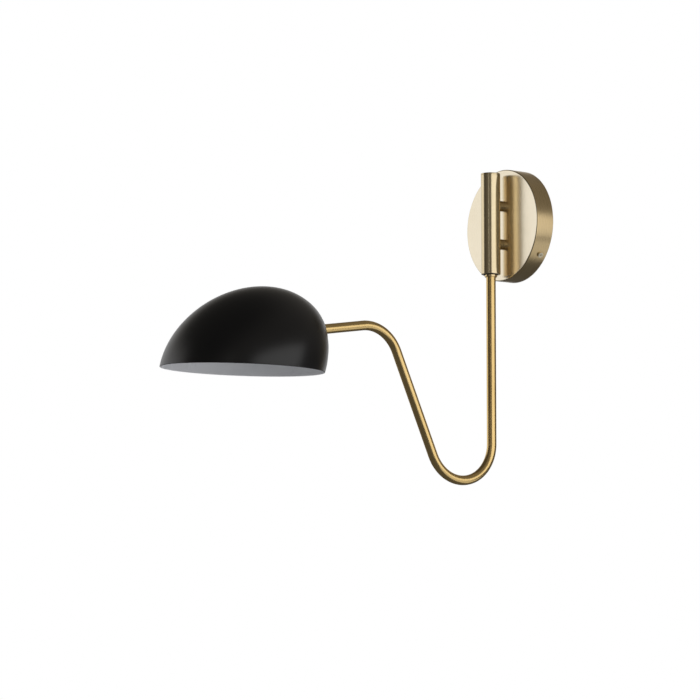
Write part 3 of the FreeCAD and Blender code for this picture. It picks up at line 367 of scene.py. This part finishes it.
# The leads' covers: white on one side of the light's middle plane and black on the other.
def makeLeadCover():
    material = coatFinish("leadCover", {
        "dark": (0.70, 0.69, 0.66), "light": (0.80, 0.79, 0.76), "edge": (0.84, 0.83, 0.80),
        "rough": (0.30, 0.40), "marks": 0.06, "cloudSize": 110, "grainSize": 2400, "bump": 0.2})
    tree = material.node_tree
    shader = tree.nodes["Principled BSDF"]
    white = shader.inputs["Base Color"].links[0].from_socket
    place = addNode(tree, "ShaderNodeTexCoord").outputs["Object"]
    sides = addNode(tree, "ShaderNodeSeparateXYZ", {0: place})
    rightSide = mathNode(tree, sides.outputs["X"], 0.0, "GREATER_THAN")
    split = mixColours(tree, rightSide, white, (0.02, 0.02, 0.021))
    tree.links.new(split, shader.inputs["Base Color"])
    return material


leadCover = makeLeadCover()


# Clear glass with faint smears where the clouds' marks lie.
def makeGlass():
    material, tree, shader = newFinish("lampGlass")
    place = addNode(tree, "ShaderNodeTexCoord").outputs["Object"]
    tones = useGroup(tree, clouds, {"Vector": place, "Size": 90})
    tree.links.new(rampOver(tree, tones.outputs["Marks"], (0, 1), 0.02, 0.10), shader.inputs["Roughness"])
    shader.inputs["Base Color"].default_value = (0.97, 0.98, 0.98, 1)
    shader.inputs["Transmission Weight"].default_value = 1
    shader.inputs["IOR"].default_value = 1.47
    return material


lampGlass = makeGlass()
print("finishes made")


# The plate is turned about the outward axis, and the barrel and its lid about the upward one.
outward, upward = (0, -1, 0), (0, 0, 1)

plateSizes = {"radius": 0.055, "depth": 0.020, "wall": 0.0012, "face": 0.0015, "edge": 0.0011, "lip": 0.0003}


# 1 for the rows where the loop runs across the plate's axis, which are its flats, and 0 for the rest. The
# flats get the paler brass, a painted highlight, and the rest get the darker brass, a painted shade.
def frontRows(points):
    steps = np.abs(np.diff(points[:, 0], axis=0))
    return (steps[:, 0] + steps[:, 2] > steps[:, 1]).astype(int)


def makePlate(s):
    inner = s["radius"] - s["wall"]
    back = s["depth"] - s["face"]
    corners = [(inner, 0), (s["radius"], 0), (s["radius"], s["depth"]), (0, s["depth"]), (0, back),
               (inner, back)]
    bevels = [s["lip"], s["lip"], s["edge"], 0, 0, s["lip"]]
    lathePiece("wallPlate", corners, bevels, (0, 0, 0), outward, [rimBrassPaintedShade, faceBrassPaintedHighlight], "root",
               ["wall_plate"], turns=256, paintRows=frontRows)


barrelSizes = {"axis": 0.034, "radius": 0.0095, "bore": 0.0065, "length": 0.100, "bevel": 0.0005,
               "cap": 0.0015, "groove": 0.00025, "plug": 0.005, "seat": 0.00005}


def makeBarrel(s):
    centre = (0, -s["axis"], 0)
    half = s["length"] / 2
    seam = half - s["cap"]
    corners = [(s["bore"], -half), (s["radius"], -half), (s["radius"], seam), (s["bore"], seam)]
    lathePiece("barrelTube", corners, [s["groove"], s["bevel"], s["groove"], s["groove"]], centre, upward,
               [barrelBrassPaintedSheen], "root", ["barrel"])
    corners = [(0, seam - s["plug"]), (s["bore"], seam - s["plug"]), (s["bore"], seam), (s["radius"], seam),
               (s["radius"], half), (0, half)]
    lathePiece("barrelLid", corners, [0, s["groove"], s["seat"], s["groove"], s["bevel"], 0], centre, upward,
               [barrelBrassPaintedSheen], "root", ["barrel_cap"])


makePlate(plateSizes)
makeBarrel(barrelSizes)
print("plate and barrel made")


# The bent tube is one line in the plane x = 0: down, a U, up at a slant, over the top and out to the shade.
armSizes = {"top": 0.00135, "lowest": -0.2543, "bend": 0.038, "climb": 65.7, "run": 0.1064, "slope": 9.0,
            "tail": 0.0819, "radius": 0.0047, "wall": 0.0012, "bevel": 0.0003, "turns": 64}


# The heading turns evenly along each bend. A step of length d that turns by a moves by its chord,
# d sin(a/2) / (a/2), at the step's mean heading.
def armLine(s, step=0.0012):
    climb, slope = math.radians(s["climb"]), math.radians(s["slope"])
    lengths = [0, s["top"] - s["lowest"] - s["bend"], s["bend"] * (math.pi / 2 + climb), s["run"],
               s["bend"] * (climb + slope), s["tail"]]
    knots = np.cumsum(lengths)
    ends = [s["bevel"], knots[-1] - s["bevel"]]
    along = np.unique(np.concatenate([np.arange(0, knots[-1], step), knots, ends]))
    heading = np.interp(along, knots, [-math.pi / 2, -math.pi / 2, climb, climb, -slope, -slope])
    turn, mean = np.diff(heading), (heading[1:] + heading[:-1]) / 2
    chord = np.diff(along) * np.sinc(turn / 2 / math.pi)
    out = np.concatenate([[0], np.cumsum(chord * np.cos(mean))])
    rise = s["top"] + np.concatenate([[0], np.cumsum(chord * np.sin(mean))])
    return along, heading, out, rise


# Point = line + radius * (x cos turn + square sin turn), where square stands across the line in the arm's
# plane. The rows run down the outside, round the end, back along the bore and round the top.
def makeArm(s):
    along, heading, out, rise = armLine(s)
    last, bore, edge = len(along) - 1, s["radius"] - s["wall"], s["radius"] - s["bevel"]
    outside = np.arange(1, last)
    row = np.concatenate([outside, [last, last, last - 1], outside[::-1][1:-1], [1, 0, 0, 1]])
    size = np.concatenate([np.full(len(outside), s["radius"]), [edge, bore + s["bevel"], bore],
                           np.full(len(outside) - 2, bore), [bore, bore + s["bevel"], edge, s["radius"]]])
    turn = np.linspace(0, 2 * math.pi, s["turns"] + 1)
    line = np.stack([np.zeros(len(along)), -(barrelSizes["axis"] + out), rise], axis=1)
    square = np.stack([np.zeros(len(along)), np.sin(heading), np.cos(heading)], axis=1)
    ring = (np.cos(turn)[None, :, None] * np.array([1.0, 0, 0])
            + np.sin(turn)[None, :, None] * square[row][:, None])
    points = line[row][:, None] + size[:, None, None] * ring
    uv = np.stack(np.meshgrid(turn * s["radius"], along[row]), axis=-1)
    makePiece("armTube", [{"points": points, "uv": uv}], [armBrass], "arm", ["arm_tube"], sharp=50)


makeArm(armSizes)
print("arm made")


# The dome's half axes, and its middle's reach and fall from the point where the shade turns on the tube.
shadeSizes = {
    "length": 0.0865, "height": 0.0647, "width": 0.0786, "lean": 37.3, "reach": 0.1381, "fall": 0.0465,
    "rimFall": 0.0064, "wall": 0.0010, "roll": 3.4, "slope": 9.0, "bead": 0.00048, "beadSteps": 8,
    "holeRadius": 0.0049, "holeFrom": 0.045, "holeTo": 0.080, "shoulder": 0.0016,
    "swellRows": [0, 0.30, 0.45, 0.60, 0.74, 0.88, 1.0], "swellShape": [0, 0.1, 0.45, 0.2, -0.55, 0.0, 1.15],
    "turns": 288, "rows": 110}


# Turning matrices about x and about y.
def turnAboutX(degrees):
    c, s = math.cos(math.radians(degrees)), math.sin(math.radians(degrees))
    return np.array([[1, 0, 0], [0, c, -s], [0, s, c]])


def turnAboutY(degrees):
    c, s = math.cos(math.radians(degrees)), math.sin(math.radians(degrees))
    return np.array([[c, 0, s], [0, 1, 0], [-s, 0, c]])


# A leaning ellipsoid: point = centre + axes * (top cos a + (x cos turn + square sin turn) sin a), where top
# is the direction on the unit ball whose image is the highest point, so that rows of equal a are level.
# Its wall side swells by shoulder * sin^2 turn * swell, which runs in straight steps over the rows.
def domeRows(s, shrink, lift, rows, turn):
    axes = turnAboutX(s["lean"]) @ np.diag([s["width"] - shrink, s["length"] - shrink, s["height"] - shrink])
    rise = axes.T @ np.array([0, 0, 1.0])
    tall = np.linalg.norm(rise)
    top = rise / tall
    square = np.cross(top, [1.0, 0, 0])
    last = math.acos(-(s["rimFall"] - lift) / tall)
    a = np.linspace(0, last, rows)[:, None, None]
    level = np.cos(turn)[:, None] * np.array([1.0, 0, 0]) + np.sin(turn)[:, None] * square
    ball = np.cos(a) * top + np.sin(a) * level[None]
    points = np.array([0, -s["reach"], -s["fall"]]) + ball @ axes.T
    back = np.clip(np.sin(turn) * np.sign((axes @ square)[1]), 0, 1)[None, :] ** 2
    part = np.linspace(0, 1, rows)[:, None]
    swell = np.interp(part, s["swellRows"], s["swellShape"])
    points[..., 1] += s["shoulder"] * back * swell
    return points


# The rim's bead joins the outside to the inside: middle + half cos b + down sin b, from b = 0 to half a turn.
def makeShade(s):
    turn = np.linspace(0, 2 * math.pi, s["turns"] + 1)
    outside = domeRows(s, 0, s["bead"], s["rows"], turn)
    inside = domeRows(s, s["wall"], s["bead"], s["rows"], turn)[::-1]
    middle, half = (outside[-1] + inside[0]) / 2, (outside[-1] - inside[0]) / 2
    b = np.linspace(0, math.pi, s["beadSteps"] + 1)[1:-1, None, None]
    bead = middle + half * np.cos(b) - np.array([0, 0, s["bead"]]) * np.sin(b)
    rows = np.concatenate([outside, bead, inside])
    start = np.array(joints["shade_turn"]["pos_m"], float)
    tilt = turnAboutX(s["slope"]) @ turnAboutY(s["roll"]) @ turnAboutX(-s["slope"])
    points = start + rows @ tilt.T
    length = np.concatenate([[0], np.cumsum(np.linalg.norm(np.diff(rows[:, 0], axis=0), axis=1))])
    uv = np.stack(np.meshgrid(turn * s["width"], length), axis=-1)
    paint = (np.arange(len(rows) - 1) >= s["rows"] + s["beadSteps"] // 2).astype(int)
    shade = makePiece("shadeDome", [{"points": points, "uv": uv, "paint": paint}], [blackPaint, whitePaint],
                      "shade", ["shade_shell"], sharp=60)
    cutHole(shade, start, s)


# The hole for the tube, cut with a round bar along the tube's end.
def cutHole(shade, start, s):
    slope = math.radians(s["slope"])
    axis = np.array([0, -math.cos(slope), -math.sin(slope)])
    corners = [(0, s["holeFrom"]), (s["holeRadius"], s["holeFrom"]),
               (s["holeRadius"], s["holeTo"]), (0, s["holeTo"])]
    bar = lathePatch(np.array(corners), start, axis, 96)
    cutter = makePiece("holeBar", [bar], [blackPaint], "shade")
    cut = shade.modifiers.new("tubeHole", "BOOLEAN")
    cut.object, cut.operation, cut.solver = cutter, "DIFFERENCE", "EXACT"
    bpy.context.view_layer.update()
    whole = shade.evaluated_get(bpy.context.evaluated_depsgraph_get())
    mesh = bpy.data.meshes.new_from_object(whole)
    shade.modifiers.clear()
    shade.data = mesh
    bpy.data.objects.remove(cutter)


makeShade(shadeSizes)
print("shade made")


# The nodes that keep their CAD shape, listed under their finish.
nodeFinishes = {
    smallBrass: ["upper_standoff", "lower_standoff", "arm_collar"],
    screwBrassPaintedHighlight: ["plate_side_screws"],
    zincSteel: ["mounting_plate", "nipple_nut", "nipple_washer", "lead_nipple", "standoff_screw",
                "standoff_screw_washer", "swing_wave_washer", "ring_nut", "swing_stop_pin", "arm_end_nuts",
                "shade_wave_washer", "shade_flat_washer", "shade_stop_pin", "holder_bracket", "holder_screw",
                "shade_bracket", "ground_screw", "block_screw", "terminal_screws", "lamp_pins"],
    blackNylon: ["lower_bush", "upper_bush"],
    blockNylon: ["terminal_block"],
    rubberSkin: ["lead_grommet"],
    leadCover: ["supply_leads", "arm_leads"],
    groundGreen: ["ground_lead"],
    whiteCeramic: ["lamp_holder", "lamp_base"],
    lampGlass: ["lamp_bulb"],
    lampYellow: ["lamp_core"],
}
for material, names in nodeFinishes.items():
    for name in names:
        node = frame["nodes"][name]
        node.data.materials.clear()
        node.data.materials.append(material)
print("CAD nodes finished")


cameraShot = {"place": (3.0753, -2.5108, -0.6388), "yaw": 53.153, "pitch": -7.427, "lens": 209.73,
              "sensor": 36.0, "farEnd": 60}
stageSizes = {"floorHeight": -1.5, "floorSize": 30.0, "grey": 0.86, "rough": 0.9, "glow": 0.62, "dim": 0.10}
skyLevels = {
    "white": 1.0, "diffuse": 0.36, "backdrop": 0.84, "backdropTurn": -150, "backdropEdge": (0.40, 0.62),
    "backdropTop": (0.60, 0.28), "below": 0.04, "above": 0.20, "heights": (-0.35, 0.6), "ceiling": 0.35,
    "ceilingSide": (-0.45, -0.45, 0.77), "ceilingEdge": (0.35, 0.85), "warmth": (1, 0.92, 0.80)}
lampSpecs = {
    "rightPanel": {"turn": 47, "lift": 2, "distance": 1.9, "size": (2.8, 1.35), "strength": 1.08},
    "leftPanel": {"turn": -106, "lift": 5, "distance": 1.9, "size": (1.1, 1.9), "strength": 0.18},
    "lowPanel": {"turn": 75, "lift": -38, "distance": 1.8, "size": (2.0, 1.2), "strength": 0.62},
    "strip": {"turn": -22, "lift": 4, "distance": 2.2, "size": (0.10, 1.6), "strength": 0.9},
}


# back = (sin yaw cos pitch, -cos yaw cos pitch, sin pitch), right = (cos yaw, sin yaw, 0), up = back x right
def placeCamera(shot):
    yaw, pitch = math.radians(shot["yaw"]), math.radians(shot["pitch"])
    back = Vector((math.sin(yaw) * math.cos(pitch), -math.cos(yaw) * math.cos(pitch), math.sin(pitch)))
    right = Vector((math.cos(yaw), math.sin(yaw), 0))
    data = bpy.data.cameras.new("photoCamera")
    data.lens, data.sensor_width, data.clip_end = shot["lens"], shot["sensor"], shot["farEnd"]
    camera = bpy.data.objects.new("photoCamera", data)
    turned = Matrix((right, back.cross(right), back)).transposed().to_4x4()
    camera.matrix_world = Matrix.Translation(shot["place"]) @ turned
    bpy.context.scene.collection.objects.link(camera)
    bpy.context.scene.camera = camera


lampAim = Vector((0, -0.17, -0.11))


# A lamp's turn is counted from the camera's side of the light towards the picture's right. Its power is
# strength * pi * area, so that its face has the brightness named strength.
def placeLamp(name, spec):
    turn = math.radians(cameraShot["yaw"] + spec["turn"])
    lift = math.radians(spec["lift"])
    towards = Vector((math.sin(turn) * math.cos(lift), -math.cos(turn) * math.cos(lift), math.sin(lift)))
    data = bpy.data.lights.new(name, "AREA")
    data.shape = "RECTANGLE"
    data.size, data.size_y = spec["size"]
    data.energy = spec["strength"] * math.pi * data.size * data.size_y
    lamp = bpy.data.objects.new(name, data)
    facing = towards.to_track_quat("Z", "Y").to_matrix().to_4x4()
    lamp.matrix_world = Matrix.Translation(lampAim + towards * spec["distance"]) @ facing
    bpy.context.scene.collection.objects.link(lamp)


# White to the camera. Metal and glass see a white backdrop behind the light. Before it lies a dim warm
# room that grows lighter with height and is darker again at the ceiling over the shade.
def makeSky(levels):
    world = bpy.data.worlds.new("studio")
    bpy.context.scene.world = world
    world.use_nodes = True
    tree = world.node_tree
    tree.nodes.clear()
    rays = addNode(tree, "ShaderNodeLightPath")
    direction = addNode(tree, "ShaderNodeTexCoord").outputs["Generated"]
    height = addNode(tree, "ShaderNodeSeparateXYZ", {0: direction}).outputs["Z"]
    yaw = math.radians(cameraShot["yaw"] + levels["backdropTurn"])
    behind = dotProduct(tree, direction, (math.sin(yaw), -math.cos(yaw), 0))
    overhead = dotProduct(tree, direction, levels["ceilingSide"])
    backdrop = mathNode(tree, rampOver(tree, behind, levels["backdropEdge"], blend="SMOOTHSTEP"),
                        rampOver(tree, height, levels["backdropTop"], blend="SMOOTHSTEP"), "MULTIPLY")
    rising = rampOver(tree, height, levels["heights"], levels["below"], levels["above"], "SMOOTHSTEP")
    dimmed = rampOver(tree, overhead, levels["ceilingEdge"], 1.0, levels["ceiling"], "SMOOTHSTEP")
    room = mathNode(tree, rising, dimmed, "MULTIPLY")
    shiny = mathNode(tree, rays.outputs["Is Glossy Ray"], rays.outputs["Is Transmission Ray"], "MAXIMUM")
    reflected = mixNumbers(tree, backdrop, room, levels["backdrop"])
    level = mixNumbers(tree, rays.outputs["Is Camera Ray"],
                       mixNumbers(tree, shiny, levels["diffuse"], reflected), levels["white"])
    tint = mixColours(tree, mathNode(tree, shiny, backdrop, "SUBTRACT"), (1, 1, 1), levels["warmth"])
    light = addNode(tree, "ShaderNodeBackground", {"Color": tint, "Strength": level})
    result = addNode(tree, "ShaderNodeOutputWorld")
    tree.links.new(light.outputs[0], result.inputs[0])


# The floor is pale to the camera from above and takes the object's shadow. It is dim in reflections, and
# clear to the camera from beneath.
def makeFloor(sizes):
    half = sizes["floorSize"] / 2
    mesh = bpy.data.meshes.new("floor")
    height = sizes["floorHeight"]
    corners = [(-half, -half, height), (half, -half, height), (half, half, height), (-half, half, height)]
    mesh.from_pydata(corners, [], [(0, 1, 2, 3)])
    floor = bpy.data.objects.new("floor", mesh)
    bpy.context.scene.collection.objects.link(floor)
    material, tree, shader = newFinish("paleFloor")
    shader.inputs["Base Color"].default_value = (*[sizes["grey"]] * 3, 1)
    shader.inputs["Roughness"].default_value = sizes["rough"]
    rays = addNode(tree, "ShaderNodeLightPath")
    white = addNode(tree, "ShaderNodeEmission", {"Color": (1, 1, 1, 1), "Strength": sizes["glow"]})
    lit = addNode(tree, "ShaderNodeAddShader", {0: shader.outputs[0], 1: white.outputs[0]})
    dim = addNode(tree, "ShaderNodeEmission", {"Color": (1, 1, 1, 1), "Strength": sizes["dim"]})
    first = addNode(tree, "ShaderNodeMixShader", {0: rays.outputs["Is Glossy Ray"], 1: shader.outputs[0],
                                                  2: dim.outputs[0]})
    mix = addNode(tree, "ShaderNodeMixShader", {0: rays.outputs["Is Camera Ray"], 1: first.outputs[0],
                                                2: lit.outputs[0]})
    side = addNode(tree, "ShaderNodeNewGeometry").outputs["Backfacing"]
    clear = addNode(tree, "ShaderNodeBsdfTransparent")
    above = addNode(tree, "ShaderNodeMixShader", {0: side, 1: mix.outputs[0], 2: clear.outputs[0]})
    tree.links.new(above.outputs[0], tree.nodes["Material Output"].inputs["Surface"])
    mesh.materials.append(material)


placeCamera(cameraShot)
for name, spec in lampSpecs.items():
    placeLamp(name, spec)
makeSky(skyLevels)
makeFloor(stageSizes)
bpy.context.scene.view_settings.view_transform = "Standard"
print("stage, lamps and camera placed")
